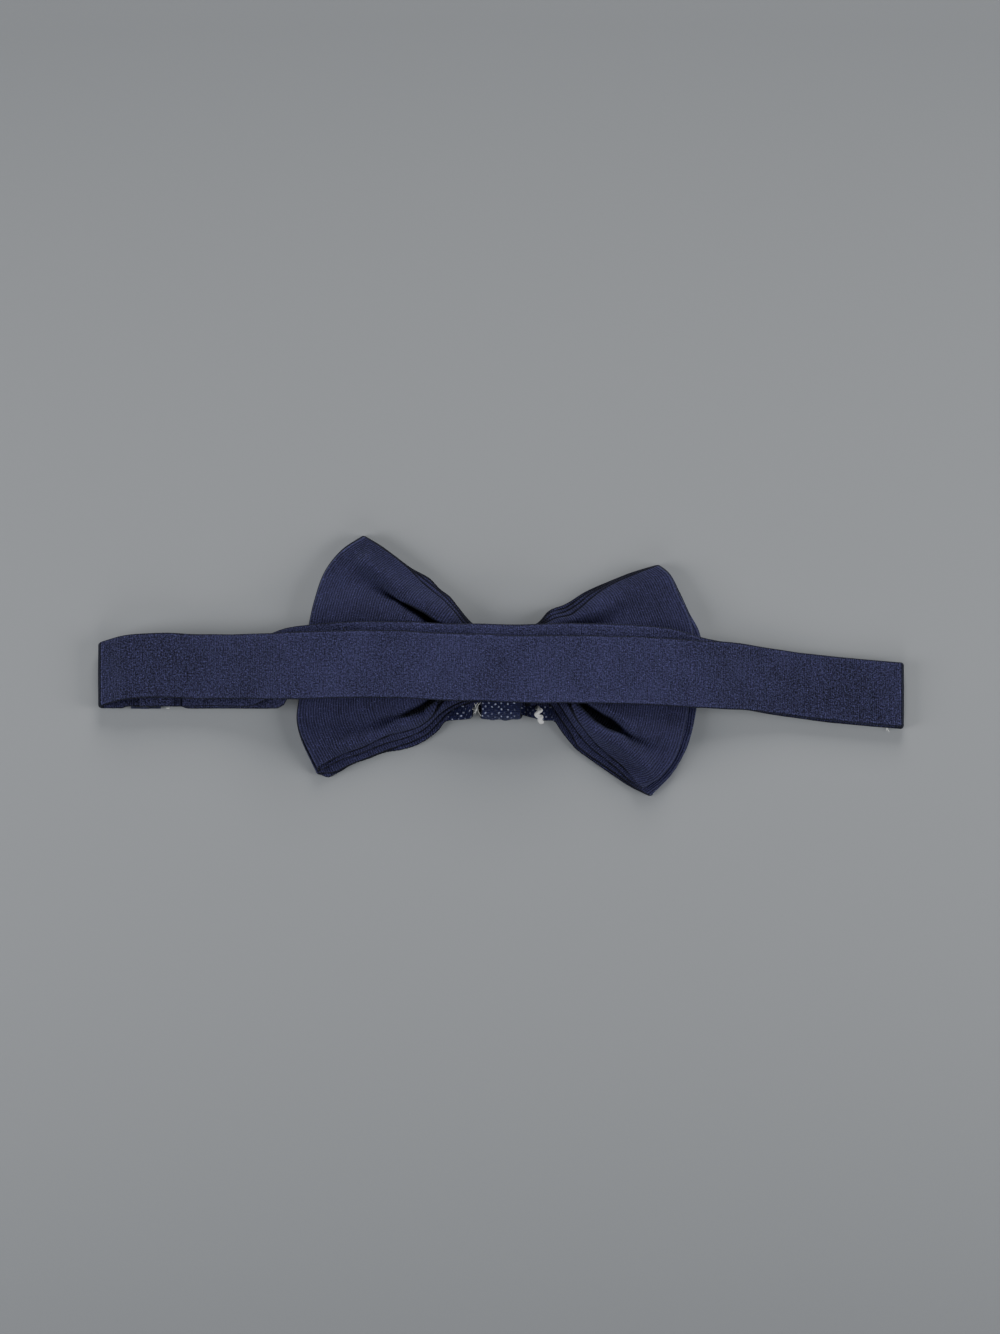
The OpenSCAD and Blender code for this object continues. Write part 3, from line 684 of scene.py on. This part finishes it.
def wing_layer(wing, layer):
    """Plan grid of one layer of a wing, drawn in at the outer edge to leave room for the turn."""
    u = np.linspace(0, 1, WING_ROWS) ** 0.92
    v = columns(WING_COLS, WING_W)
    bottom, top = wing["bottom"][layer], wing["top"][layer]
    edge = np.array(wing["front_edge" if layer < 2 else "back_edge"], float)
    edge[0], edge[-1] = bottom[-1], top[-1]
    room = np.array([TURN_ROOM, 0]) * np.sign(bottom[0][0])
    inward = edge - room
    bottom, top = np.array(bottom, float), np.array(top, float)
    bottom[-1], top[-1] = inward[0], inward[-1]
    mid = (bottom[0] + top[0]) / 2
    knot = np.array([bottom[0], mid, top[0]])
    return coons(bottom, top, knot, inward, u, v), v


def turn_rows(upper, lower, side):
    """Round turn at the outer edge from the upper layer's last row to the lower layer's."""
    rows = []
    for k in range(1, TURN_ROWS + 1):
        a = math.pi * k / (TURN_ROWS + 1)
        share = (1 - math.cos(a)) / 2
        row = upper * (1 - share) + lower * share
        bulge = np.maximum((upper[:, 2] - lower[:, 2]) / 2, 0.4) * math.sin(a)
        row = row.copy()
        row[:, 0] += side * bulge
        rows.append(row)
    return np.array(rows)


def bow_loops():
    """Grids of the two bows: each is one strip that goes round as a flat loop, twice through the knot."""
    sheets = {}
    for name, wing in (("left", LEFT), ("right", RIGHT)):
        plans, cross = [], None
        for layer in range(4):
            plan, cross = wing_layer(wing, layer)
            plans.append(plan)
        v = [np.broadcast_to(cross[None, :], p.shape[:2]) for p in plans]
        z = stack_heights([p[:, :, 0] for p in plans], [p[:, :, 1] for p in plans], v)
        plans[3] = lean_over(plans[3])
        for layer in range(4):
            sheets[name, layer] = np.dstack([plans[layer], z[layer]])
    loops = []
    for lower, upper in ((0, 1), (2, 3)):
        right_up, right_low = sheets["right", upper], sheets["right", lower]
        left_up, left_low = sheets["left", upper], sheets["left", lower]
        waist = np.linspace(0, 1, 7)[1:-1, None, None]
        rows = [
            right_up, turn_rows(right_up[-1], right_low[-1], 1), right_low[::-1],
            right_low[:1] * (1 - waist) + left_low[:1] * waist,
            left_low, turn_rows(left_low[-1], left_up[-1], -1), left_up[::-1],
            left_up[:1] * (1 - waist) + right_up[:1] * waist,
        ]
        loops.append(np.concatenate(rows))
    return loops


def lengths_along(grid):
    """Lengths along the rows' middle line and across every row, as two grids."""
    mid = grid[:, grid.shape[1] // 2]
    along = length_so_far(mid)
    across = np.cumsum(np.linalg.norm(np.diff(grid, axis=1), axis=2), axis=1)
    across = np.c_[np.zeros(len(grid)), across]
    return np.repeat(along[:, None], grid.shape[1], 1), across


def bows():
    front, back = bow_loops()
    row = np.arange(len(front))[:, None]
    face = (row > WING_ROWS + 1) & (row < 3 * WING_ROWS + 2 * TURN_ROWS + 2)
    turned = face & (np.abs(front[:, :, 0]) < DOTS_REACH) & (front[:, :, 1] < DOTS_BELOW)
    dotted = ("dotted_fabric", face, turned)
    # Painted shade on the front bow beside the knot.
    beside_knot = 0.9 * np.exp(-(((front[:, :, 0] - KNOT_SHADE[0]) / KNOT_SHADE[1]) ** 2))
    shades = [
        np.maximum(pleat_shade(front, 0), beside_knot),
        np.maximum(pleat_shade(back, 2), hollow_shade(back)),
    ]
    kinds = (
        ("front_bow", front, "dotted_fabric", dotted, "floor"),
        ("back_bow", back, "ribbed_fabric", None, "front_bow"),
    )
    for (name, grid, slot, ply, rests), shade in zip(kinds, shades):
        u, v = lengths_along(grid)
        piece = sewn_tube(
            name + "_cloth", grid, u, v, CLOTH_T / 2, "bow", slot, "ribbed_fabric", around=True,
            rim_r=RIM_R, ply=ply, shade=shade, edge_w=0.36,
        )
        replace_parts(piece, name)
        inner = slice(BOW_INSET, -BOW_INSET)
        inset_v = v[:, inner] - v[:, BOW_INSET:BOW_INSET + 1]
        canvas_sheet = sewn_tube(
            name + "_canvas", grid[:, inner], u[:, inner], inset_v, BOW_CANVAS_HALF, "bow", "interlining",
            around=True, rim_r=0.2,
        )
        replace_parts(canvas_sheet, name + "_interlining")


# ---------------------------------------------------------------- the neck band
# Heights of the outer run, the end run and the ply that returns from the hook, then the runs' places in Y.
OUTER_RISE = [
    (-113, 6.9), (-100, 6.9), (-88, 6.8), (-76, 9), (-67, 11.4), (-61, 12.1), (-50, 11.3), (-40, 10.5),
    (-30, 10.4), (-20, 11), (-10, 12.6), (0, 13.1), (10, 12.6), (20, 10.9), (30, 10), (50, 8.4), (60, 7.8),
    (72, 5.8), (86, 4.1), (98, 3.6), (119, 3.55),
]
END_RISE = [(-113, 1.85), (-96, 1.85), (-86, 2.2), (-78, 3.6), (-72, 5.3), (-67, 7), (-63.6, 7.5)]
RETURN_RISE = [(-63.1, 10.17), (-64.4, 10.2), (-67, 9.75), (-72, 7.6), (-78, 5.5), (-84, 4.3), (-90, 3.6),
               (-96.6, 3.28)]
OUTER_PLAN = [
    (-122, -2.9), (-114, -0.8), (-106, -0.1), (-92, -0.5), (-74, -0.4), (-56, 0.05), (-43, 0.4), (-30, 0.2),
    (-17, -0.5), (-5, -0.9), (4, -1.2), (17, -1.25), (44, -1.75), (57, -2.6), (71, -3.4), (82, -5),
    (96, -6.7), (108, -7.9), (121, -9),
]
INNER_PLAN = [
    (-72, -1), (-66, 1.2), (-58, 2.4), (0, 2.5), (40, 2.3), (52, 1), (60, -1.4), (70, -3.3), (82, -5.2),
    (96, -7.4), (108, -8.6), (121, -9.7),
]
# Middle of the end run in Y, and the width and thickness of the ply that the slide holds.
END_Y, TAIL_W, TAIL_T = -3.4, 18.2, 0.85
# Radius of the two folds, where each turn begins in X, and the height of its axis.
FOLD_R = 1.45
RIGHT_TURN, RIGHT_AXIS = 119.0, 2.1
LEFT_TURN, LEFT_AXIS = -120.0, 3.3
# Painted shade on the outside of each fold: how far beyond its turn it begins, and where it is darkest.
FOLD_SHADE = (0.4, 0.8)
# How much of its waviness the band loses where it is pulled over the knot.
KNOT_CALM = 0.85
# Where the folds meet the straight runs, and the heights of the runs there.
RIGHT_CUT, LEFT_CUT = 98.0, -113.0
LOW_Z, RIGHT_HIGH_Z, LEFT_HIGH_Z = 0.65, 3.55, 6.9
# The hook's bar in X and Z and its middle in Y, and the width and thickness of the band round it.
HOOK_BAR, HOOK_Y, LOOP_W, LOOP_T = (-62.5, 8.95), -2.0, 13.0, 0.9
# The slide's bar in X and Z, the radius of both bars, and the slack of the cloth round the hook's bar.
SLIDE_BAR = (-108, 4.3)
BAR_R, LOOP_SLACK = 0.6, 0.3
# Height of the ply that the slide holds, where that ply begins.
TAIL_X, TAIL_Z = -96.6, 3.28
# The tail beyond the slide's bar: where it runs in X, its height at first, and its fall a millimetre.
TAIL_RUN, TAIL_TOP_Z, TAIL_FALL = (-106, -98.9), 4.95, 0.10
# Where the end run meets the loop round the hook's bar, and the loop's first and last angle.
LOOP_X, LOOP_ARC = -63.8, (-80, 112)


def run(rise, start, stop):
    """Middle line of a stretch of band over X, as rows of (x, z) about 1 mm apart."""
    x = np.linspace(start, stop, int(abs(stop - start)) + 1)
    return np.c_[x, height_at(rise, x)]


def arc(centre, radius, start, stop, count=14):
    a = np.radians(np.linspace(start, stop, count))
    return np.c_[centre[0] + radius * np.cos(a), centre[1] + radius * np.sin(a)]


def band_piece(
    name, line, centre, width, thick, body, capped=True, start=0.0, seed=1, wave=0.16, cols=30, shade=0.0
):
    """A run of the band: its middle line in X and Z, its middle in Y, its width and its thickness, by row.

    start is the length of band before it, wave is how uneven it lies, and shade marks rows of painted shade."""
    count = len(line)
    centre, width, thick = (np.broadcast_to(np.asarray(q, float), count) for q in (centre, width, thick))
    share = columns(cols, BAND_W, 0.65)
    x, z = line[:, :1], line[:, 1:]
    calm = step(RIGHT_CUT - 1, RIGHT_CUT - 13, x) * step(LEFT_CUT + 1, LEFT_CUT + 12, x)
    uneven = 0.10 * ripple(x, 0 * x, 17, seed) * calm
    spread = width[:, None] + 0.22 * ripple(x, 40 + 0 * x, 21, seed) * calm
    y = centre[:, None] + uneven + (share[None, :] - 0.5) * spread
    lift = wave * ripple(x, y, 24, seed + 5) + 0.4 * wave * ripple(x, y, 8, seed + 6)
    taut = 1 - KNOT_CALM * step(-13, -10, x) * step(12, 9, x)
    grid = np.dstack([x + 0 * y, y, z + lift * calm * taut])
    u, v = lengths_along(grid)
    crown = 1 - 0.10 * (2 * share[None, :] - 1) ** 2
    half = thick[:, None] / 2 * crown
    shade = np.broadcast_to(np.reshape(shade, (-1, 1)), v.shape)
    piece = sewn_tube(
        name, grid, u + start, v, half, None, "ribbed_fabric", "band_fabric", capped=capped, rim_r=RIM_R,
        shade=shade,
    )
    if body:
        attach(piece, body)
    return piece, grid, u


def lining(name, grid, body, rows):
    """The canvas inside a run of the band, in these rows of the run's grid."""
    inner = grid[rows, BAND_INSET:-BAND_INSET]
    long, wide = lengths_along(inner)
    piece = sewn_tube(
        name.replace("interlining", "canvas"), inner, long, wide, BAND_CANVAS_HALF, body, "interlining",
        capped=True, rim_r=0.2,
    )
    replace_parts(piece, name)


def band():
    plan_in, plan_out = (lambda x: height_at(INNER_PLAN, x)), (lambda x: height_at(OUTER_PLAN, x))

    line = run(INNER_RISE, -71, 90)
    line = np.r_[line, [(x, LOW_Z) for x in np.arange(91, RIGHT_CUT + 0.1)]]
    piece, grid, u = band_piece("band_inner_cloth", line, plan_in(line[:, 0]), BAND_W, BAND_T, "bow", seed=11)
    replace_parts(piece, "band_inner")
    lining("band_inner_interlining", grid, "bow", slice(3, -2))
    start = u[-1, 0]

    near = [(x, LOW_Z) for x in np.arange(RIGHT_CUT, RIGHT_TURN)]
    far = np.arange(RIGHT_TURN - 1, RIGHT_CUT - 0.2, -1.006)
    far = [(x, RIGHT_HIGH_Z + 0.05 * (RIGHT_TURN - x) / 20) for x in far]
    line = np.r_[near, arc((RIGHT_TURN, RIGHT_AXIS), FOLD_R, -90, 90), far]
    x = line[:, 0]
    upper = step(1.3, 2.9, line[:, 1])
    centre = plan_in(x) * (1 - upper) + plan_out(x) * upper
    # Painted shade on the outside of the right fold.
    shade = step(RIGHT_TURN + FOLD_SHADE[0], RIGHT_TURN + FOLD_SHADE[1], x)
    piece, _, u = band_piece(
        "band_right_fold", line, centre, BAND_W, BAND_T, None, start=start, shade=shade
    )
    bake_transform(piece)
    start += u[-1, 0]

    line = run(OUTER_RISE, line[-1, 0], LEFT_CUT)
    x = line[:, 0]
    piece, grid, u = band_piece(
        "band_outer_cloth", line, plan_out(x), outer_width(x), BAND_T, "neck_run", start=start, seed=23
    )
    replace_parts(piece, "band_outer")
    lining("band_outer_interlining", grid, "neck_run", slice(2, -2))
    start += u[-1, 0]

    fall = np.linspace(0, 1, 8)[:-1]
    top_z = LEFT_AXIS + FOLD_R
    far_z = LEFT_HIGH_Z + (top_z - LEFT_HIGH_Z) * fall * fall * (3 - 2 * fall)
    far = np.c_[LEFT_CUT + (LEFT_TURN - LEFT_CUT) * fall, far_z]
    near = [(x, LEFT_AXIS - FOLD_R) for x in np.linspace(LEFT_TURN, LEFT_CUT, 8)[1:]]
    line = np.r_[far, arc((LEFT_TURN, LEFT_AXIS), FOLD_R, 90, 270), near]
    x = line[:, 0]
    upper = step(2.0, 5.0, line[:, 1])
    width = BAND_W * upper + (1 - upper) * end_width(x)
    centre = END_Y * (1 - upper) + plan_out(x) * upper
    # Painted shade on the outside of the left fold.
    shade = step(LEFT_TURN - FOLD_SHADE[0], LEFT_TURN - FOLD_SHADE[1], x)
    piece, _, u = band_piece("band_left_fold", line, centre, width, BAND_T, None, start=start, shade=shade)
    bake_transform(piece)
    start += u[-1, 0]

    loop_r = BAR_R + LOOP_SLACK + LOOP_T / 2
    line = np.r_[run(END_RISE, LEFT_CUT, LOOP_X), arc(HOOK_BAR, loop_r, *LOOP_ARC)]
    width, centre, thick = hook_width(line), hook_centre(line), hook_thick(line)
    piece, grid, u = band_piece("band_end_cloth", line, centre, width, thick, "end_run", start=start, seed=31)
    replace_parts(piece, "band_end")
    lining("band_end_interlining", grid, "end_run", slice(2, 44))
    start += u[-1, 0]

    line = spline([tuple(line[-1])] + RETURN_RISE[1:], np.linspace(0, 1, 40))
    x = line[:, 0]
    width = LOOP_W + (TAIL_W - LOOP_W) * step(-66, -77, x)
    centre = HOOK_Y + (END_Y - HOOK_Y) * step(-66, -77, x)
    piece = band_piece("band_return", line, centre, width, TAIL_T, None, start=start, seed=37)[0]
    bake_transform(piece)

    bar_r = BAR_R + TAIL_T / 2
    line = np.r_[
        [(x, TAIL_Z) for x in np.arange(TAIL_X, SLIDE_BAR[0], -1)],
        arc(SLIDE_BAR, bar_r, -90, -255, 12),
        [(x, TAIL_TOP_Z - TAIL_FALL * (x - TAIL_RUN[0])) for x in np.arange(*TAIL_RUN, 1)],
    ]
    piece = band_piece(
        "band_tail_cloth", line, END_Y, TAIL_W, TAIL_T, "slide", capped=False, start=start, wave=0.04
    )[0]
    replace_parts(piece, "band_tail")


def outer_width(x):
    """Width of the outer run, which lies flatter and wider where the bow carries it."""
    return BAND_W + 0.9 * step(-76, -54, x) * step(84, 62, x)


def end_width(x):
    """Width of the end run, which is drawn in a little where the slide holds it."""
    held = step(-115.2, -113.4, x) * step(-95.4, -97.2, x)
    return BAND_W - (BAND_W - TAIL_W) * held


def hook_width(line):
    on_turn = step(-65.6, -63.9, line[:, 0])
    return end_width(line[:, 0]) * (1 - on_turn) + LOOP_W * on_turn


def hook_centre(line):
    return END_Y + (HOOK_Y - END_Y) * step(-68, -64.5, line[:, 0])


def hook_thick(line):
    return BAND_T + (LOOP_T - BAND_T) * step(-67, -64, line[:, 0])


def eye_tape():
    """Tape that holds the eye's bar down on the inner run."""
    low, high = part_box("eye_tape")
    bar = ((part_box("eye")[1].x / MM) - 0.6, 7.8)
    base = low.z / MM + 0.25
    right = high.x / MM
    line = np.r_[
        [(x, base) for x in np.linspace(right, bar[0] + 1.6, 5)],
        arc(bar, 1.15, -5, 185, 12),
        [(bar[0] - 1.25, base - 0.05)],
    ]
    middle = (low.y + high.y) / 2 / MM
    piece = band_piece("eye_tape_cloth", line, middle, 8.0, 0.5, "bow", capped=False, wave=0.02, cols=16)[0]
    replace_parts(piece, "eye_tape")


def in_mm(corners):
    """The low and the high corner of a box in metres, brought to mm."""
    return (np.array(c) / MM for c in corners)


# ---------------------------------------------------------------- the knot
# The knot's ends in Y, its height, its middle in X, and the thickness of its cloth.
KNOT_LOW, KNOT_HIGH, KNOT_H, KNOT_X = -16.5, 12.0, 10.5, -0.6
KNOT_WALL = 1.1
# Its width at the back and what the face adds, its corner radius, and the plain hem's place from its middle.
KNOT_W, FACE_ADDS, KNOT_CORNER, HEM_X = 11.9, 1.6, 3.0, 4.1


def rounded_ring(low, high, bottom, top, radius, count):
    """Even points round a rounded rectangle of the YZ plane, with its length so far."""
    corners = [
        ((low + radius, bottom + radius), 180), ((high - radius, bottom + radius), 270),
        ((high - radius, top - radius), 0), ((low + radius, top - radius), 90),
    ]
    points = np.concatenate([arc(c, radius, a, a + 90, 12) for c, a in corners])
    closed = np.r_[points, points[:1]]
    d = length_so_far(closed)
    s = np.linspace(0, d[-1], count + 1)[:-1]
    return np.c_[np.interp(s, d, closed[:, 0]), np.interp(s, d, closed[:, 1])], s


def knot_wrap():
    """Dotted cloth wrapped round the waist of the bow, a little full, with soft folds at the back."""
    half = KNOT_WALL / 2
    ring, s = rounded_ring(KNOT_LOW + half, KNOT_HIGH - half, half, KNOT_H - half, KNOT_CORNER, 132)
    share = columns(26, 12.0, 0.5)
    face = step(4.5, 0.5, ring[:, 1])[:, None]
    width = KNOT_W + FACE_ADDS * face
    x = KNOT_X + (share[None, :] - 0.5) * width
    full = 1 - np.abs(2 * share[None, :] - 1) ** 2.2
    out = np.c_[ring[:, 0] - (KNOT_LOW + KNOT_HIGH) / 2, ring[:, 1] - KNOT_H / 2]
    out = out / np.linalg.norm(out, axis=1, keepdims=True)
    folds = 0.16 * np.sin(x * 1.55 + 0.6 * np.sin(s[:, None] / 5))
    folds = folds + 0.12 * ripple(x, s[:, None] + 0 * x, 9, 41)
    swell = (0.35 * full - 0.30) + folds * full
    y = ring[:, :1] + out[:, :1] * swell
    z = np.maximum(ring[:, 1:] + out[:, 1:] * swell, half + 0.02)
    z = np.minimum(z, KNOT_H - half + 0.05)
    grid = np.dstack([x, y, z])
    u, v = lengths_along(grid)
    hem = x > KNOT_X + HEM_X
    piece = sewn_tube("knot_wrap_cloth", grid, u, v, half, "bow", "dotted_fabric", around=True, rim_r=0.5,
                      ply=("navy_cloth", hem, hem))
    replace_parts(piece, "knot_wrap")
    width = float(v[:, -1].max())


def knot_padding():
    """Soft canvas pad behind the knot's face."""
    low, high = in_mm(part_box("knot_padding"))
    y = np.linspace(low[1], high[1], 26)
    share = columns(16, high[0] - low[0], 0.5)
    x = low[0] + share * (high[0] - low[0])
    xx, yy = np.meshgrid(x, y)
    across = (xx - xx.min()) / (high[0] - low[0])
    along = (yy - low[1]) / (high[1] - low[1])
    crown = np.sqrt(np.clip(1 - (2 * across - 1) ** 4, 0.02, 1))
    crown = crown * np.sqrt(np.clip(1 - (2 * along - 1) ** 6, 0.02, 1))
    grid = np.dstack([xx, yy, np.full(xx.shape, (low[2] + high[2]) / 2)])
    u, v = lengths_along(grid)
    piece = sewn_tube("knot_pad", grid, u, v, (high[2] - low[2]) / 2 * crown, "bow", "interlining", rim_r=0.7)
    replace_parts(piece, "knot_padding")


# ---------------------------------------------------------------- threads
WINDING_TURNS, TURN_POINTS = 5, 40
# The winding's low and high end in Y, its bottom and top, its corner radius, and its width in X.
WINDING_RING, WINDING_W = (-14.9, 10.4, 3.1, 8.9, 1.6), 6


def strands(name, paths, radius, body, slot, sides=7, rings=None):
    """Threads swept along paths of points in mm, with drawn-in ends, as one mesh."""
    verts, faces = [], []
    for path in paths:
        path = np.asarray(path, float)
        count = rings or max(8, int(np.linalg.norm(np.diff(path, axis=0), axis=1).sum() / radius / 2.2))
        line = spline(path, np.linspace(0, 1, count))
        ahead = np.gradient(line, axis=0)
        ahead /= np.linalg.norm(ahead, axis=1, keepdims=True)
        side = np.cross(ahead, np.array([0.21, 0.13, 0.97]))
        side /= np.maximum(np.linalg.norm(side, axis=1, keepdims=True), 1e-6)
        over = np.cross(side, ahead)
        share = np.linspace(0, 1, count)
        r = radius * np.sqrt(np.clip(np.minimum(share, 1 - share) * count / 2.2, 0.06, 1))
        base = len(verts)
        for k in range(count):
            for q in range(sides):
                a = 2 * math.pi * q / sides + 0.5 * k
                verts.append(line[k] + (side[k] * math.cos(a) + over[k] * math.sin(a)) * r[k])
        for k in range(count - 1):
            for q in range(sides):
                a, b = base + k * sides + q, base + k * sides + (q + 1) % sides
                faces.append([a, b, b + sides, a + sides])
        faces.append([base + q for q in range(sides)][::-1])
        faces.append([base + (count - 1) * sides + q for q in range(sides)])
    return put(name, verts, faces, None, body, slot)


def stitch(start, stop, rise=0.3):
    """One stitch that arches a little between two points."""
    start, stop = np.asarray(start, float), np.asarray(stop, float)
    middle = (start + stop) / 2 + (0, 0, rise)
    return [start, start * 0.75 + stop * 0.25 + (0, 0, rise * 0.8), middle,
            start * 0.25 + stop * 0.75 + (0, 0, rise * 0.8), stop]


def threads():
    turns = []
    count = WINDING_TURNS * TURN_POINTS
    ring = rounded_ring(*WINDING_RING, TURN_POINTS)[0]
    for k in range(count):
        y, z = ring[k % TURN_POINTS]
        turns.append((KNOT_X - WINDING_W / 2 + WINDING_W * k / count, y, z))
    winding = strands("gathering_winding", [turns], 0.26, "bow", "white_thread", rings=400)
    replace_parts(winding, "gathering_thread")

    curl = [(10.1, -12.7, 3.8), (10.3, -13.2, 5.2), (11.1, -13.8, 6.3), (10.4, -14.3, 7.0),
            (9.9, -14.9, 6.4), (10.5, -15.5, 6.0), (11.3, -15.7, 6.5), (10.9, -16.3, 6.9),
            (11.1, -16.9, 6.3), (11.8, -17.6, 5.7)]
    ply = [(x + 0.35, y + 0.15, z + 0.35) for x, y, z in curl]
    strands("gathering_loose_end", [curl, ply], 0.52, "bow", "white_thread", sides=9, rings=60)

    frays = [
        [(-6.7, -11.2, 6.5), (-7.6, -12.4, 6.0), (-7.3, -14.2, 4.6), (-6.3, -15.8, 3.6)],
        [(-8.6, -11.4, 6.5), (-8.0, -13.0, 5.6), (-8.4, -14.9, 4.4)],
        [(-7.4, -11.2, 6.7), (-8.2, -12.2, 6.2), (-7.9, -13.6, 5.4), (-8.9, -14.6, 4.8)],
        [(-9.4, -13.2, 5.4), (-8.3, -13.6, 5.3), (-7.1, -13.4, 5.0)],
    ]
    strands("frayed_threads", frays, 0.09, "bow", "white_thread", sides=6)

    low, high = in_mm(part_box("knot_stitches"))
    sewn = [
        stitch((x, y, low[2] + 0.05), (x + 1.6, y + 0.3, low[2] + 0.05), 0.2)
        for x in (-4.5, -1.6, 1.3) for y in (low[1] + 0.2, high[1] - 0.3)
    ]
    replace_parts(strands("knot_sewing", sewn, 0.2, "bow", "navy_thread", rings=9), "knot_stitches")

    low, high = in_mm(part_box("eye_tape_stitches"))
    rows = np.linspace(low[1] + 0.2, high[1] - 0.2, 4)
    sewn = [stitch((low[0], y, 7.85), (high[0], y + 0.2, 7.85), 0.2) for y in rows]
    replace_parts(strands("eye_tape_sewing", sewn, 0.18, "bow", "navy_thread", rings=9), "eye_tape_stitches")

    low, high = in_mm(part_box("tail_bar_tack"))
    tack = []
    for y in (low[1] + 0.2, high[1] - 0.2):
        for k in range(4):
            x = low[0] + 0.12 + 0.2 * k
            tack.append([(x, y, 3.0), (x + 0.05, y - 0.12, 3.7), (x, y, 4.6)])
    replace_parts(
        strands("tail_bar_tack_thread", tack, 0.15, "slide", "white_thread", rings=8), "tail_bar_tack"
    )

    picks = [stitch((x, 11.4, 7.3), (x + 0.3, 10.2, 7.3), 0.25) for x in (-47.9, -30.2)]
    strands("band_pick_stitches", picks, 0.16, "bow", "navy_thread", rings=9)
    end = [
        [(115.8, -18.5, 0.6), (116.4, -19.5, 0.5), (116.9, -20.3, 0.5)],
        [(116.2, -18.5, 0.6), (116.0, -19.9, 0.4)],
    ]
    strands("band_thread_end", end, 0.12, "bow", "white_thread", rings=9)


def hardware():
    """The three steel pieces keep their CAD shape and get a chipped navy enamel."""
    for name in ("adjuster_slide", "hook", "eye"):
        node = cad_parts[name]
        node.data.materials.clear()
        node.data.materials.append(MATERIALS["navy_enamel"])


studio()
bows()
band()
eye_tape()
knot_wrap()
knot_padding()
threads()
hardware()
